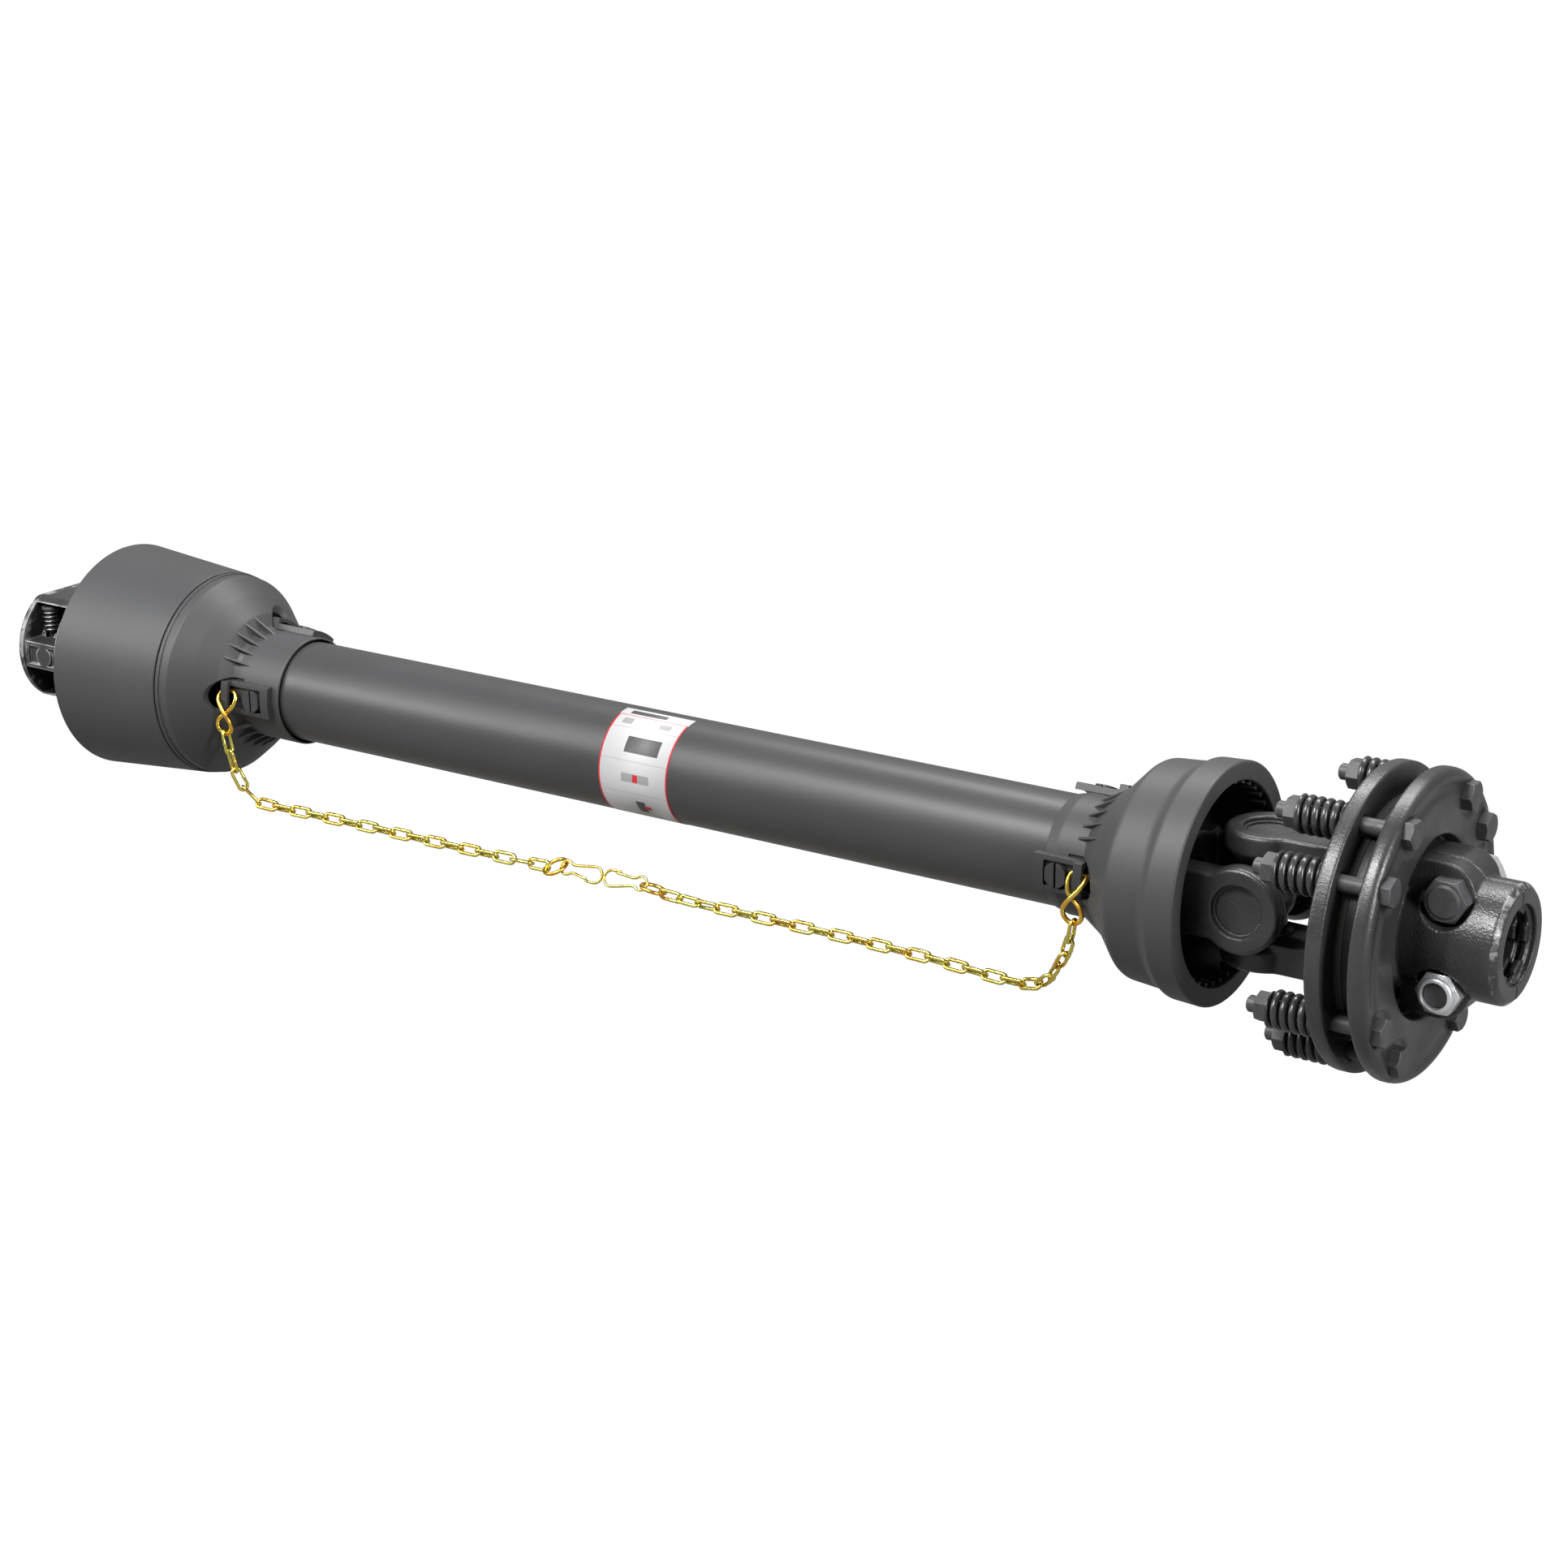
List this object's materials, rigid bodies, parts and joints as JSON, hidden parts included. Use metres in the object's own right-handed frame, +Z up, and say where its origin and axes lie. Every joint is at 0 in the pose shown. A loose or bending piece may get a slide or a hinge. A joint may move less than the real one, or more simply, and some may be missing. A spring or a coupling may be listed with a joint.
{
  "type": "pto drive shaft",
  "caption": "Telescopic drive shaft with plastic guard, restraint chains, quick-release yoke and friction clutch.",
  "frame": {"origin": "centre of the mouth of the tractor yoke's splined bore", "axes": "+X along the shaft from the tractor end to the implement end, +Z up, the chain hangs on the -Y side"},
  "size_m": [1.149, 0.1852, 0.1852],
  "materials": {
    "cast": "semi-gloss black paint on rough casting",
    "forged": "ground steel",
    "cup_steel": "dark bearing steel",
    "tube_steel": "drawn steel, greased",
    "guard": "matte moulded dark grey",
    "guard_clip": "matte moulded dark grey",
    "nylon": "natural nylon",
    "yellow_zinc": "yellow passivated zinc",
    "bright_zinc": "bright zinc",
    "pin_paint": "dark paint",
    "spring_black": "glossy black",
    "bolt_dark": "dark grey, worn edges",
    "lining": "pressed friction lining",
    "brass": "plain"
  },
  "bodies": {
    "guard_tractor": {"tractor_bell": "guard", "tractor_cone": "guard", "tractor_clips": "guard_clip", "tractor_bearing_ring": "nylon", "inner_guard_tube": "guard", "tractor_s_hook": "yellow_zinc", "tractor_chain_links": "yellow_zinc", "tractor_chain_ring": "yellow_zinc", "tractor_snap_hook": "yellow_zinc"},
    "guard_implement": {"outer_guard_tube": "guard", "implement_cone": "guard", "implement_clips": "guard_clip", "implement_bearing_ring": "nylon", "implement_s_hook": "yellow_zinc", "implement_chain_links": "yellow_zinc", "implement_chain_ring": "yellow_zinc", "implement_snap_hook": "yellow_zinc"},
    "shaft_tractor": {"tractor_tube_yoke": "cast", "tractor_tube_yoke_cups": "cup_steel", "tractor_tube_yoke_circlips": "cup_steel", "tractor_roll_pin": "forged", "inner_profile_tube": "tube_steel"},
    "shaft_implement": {"outer_profile_tube": "tube_steel", "implement_tube_yoke": "cast", "implement_tube_yoke_cups": "cup_steel", "implement_tube_yoke_circlips": "cup_steel", "implement_roll_pin": "forged"},
    "cross_tractor": {"tractor_cross": "forged", "tractor_grease_nipple": "brass"},
    "yoke_tractor": {"tractor_yoke": "cast", "push_pin_spring": "spring_black", "tractor_yoke_cups": "cup_steel", "tractor_yoke_circlips": "cup_steel"},
    "lock_pin": {"push_pin": "pin_paint"},
    "cross_implement": {"implement_cross": "forged", "implement_grease_nipple": "brass"},
    "clutch_housing": {"clutch_yoke": "cast", "clutch_yoke_cups": "cup_steel", "clutch_yoke_circlips": "cup_steel", "clutch_bolts": "bolt_dark", "clutch_nuts": "bolt_dark", "clutch_springs": "spring_black", "friction_disc_inner": "lining", "friction_disc_outer": "lining", "pressure_cover": "cast"},
    "clutch_hub": {"drive_plate": "forged", "hub_half_front": "cast", "hub_half_rear": "cast", "hub_bolts": "bolt_dark", "hub_nuts": "bright_zinc"}
  },
  "joints": [
    {"name": "guard_slide", "type": "slide", "parent": "guard_tractor", "child": "guard_implement", "axis": [1, 0, 0], "range_m": [0, 0.33]},
    {"name": "shaft_spin", "type": "hinge", "parent": "guard_tractor", "child": "shaft_tractor", "pos_m": [0.2, 0, 0], "axis": [1, 0, 0], "continuous": true},
    {"name": "shaft_slide", "type": "slide", "parent": "shaft_tractor", "child": "shaft_implement", "axis": [1, 0, 0], "range_m": [0, 0.33]},
    {"name": "tractor_cross_swing", "type": "hinge", "parent": "shaft_tractor", "child": "cross_tractor", "pos_m": [0.116, 0, 0], "axis": [0, 1, 0], "range_deg": [-22, 22]},
    {"name": "tractor_yoke_swing", "type": "hinge", "parent": "cross_tractor", "child": "yoke_tractor", "pos_m": [0.116, 0, 0], "axis": [0, 0, 1], "range_deg": [-22, 22]},
    {"name": "lock_pin_push", "type": "slide", "parent": "yoke_tractor", "child": "lock_pin", "axis": [0, 0, -1], "range_m": [0, 0.009], "stiffness_N_per_m": 900, "springref_m": -0.004, "deforming": ["push_pin_spring"]},
    {"name": "implement_cross_swing", "type": "hinge", "parent": "shaft_implement", "child": "cross_implement", "pos_m": [0.992, 0, 0], "axis": [0, 1, 0], "range_deg": [-22, 22]},
    {"name": "clutch_yoke_swing", "type": "hinge", "parent": "cross_implement", "child": "clutch_housing", "pos_m": [0.992, 0, 0], "axis": [0, 0, 1], "range_deg": [-22, 22]},
    {"name": "clutch_slip", "type": "hinge", "parent": "clutch_housing", "child": "clutch_hub", "pos_m": [1.1, 0, 0], "axis": [1, 0, 0], "continuous": true}
  ],
  "couplings": [
    {"joint": "shaft_slide", "follows": "guard_slide", "ratio": 1}
  ]
}
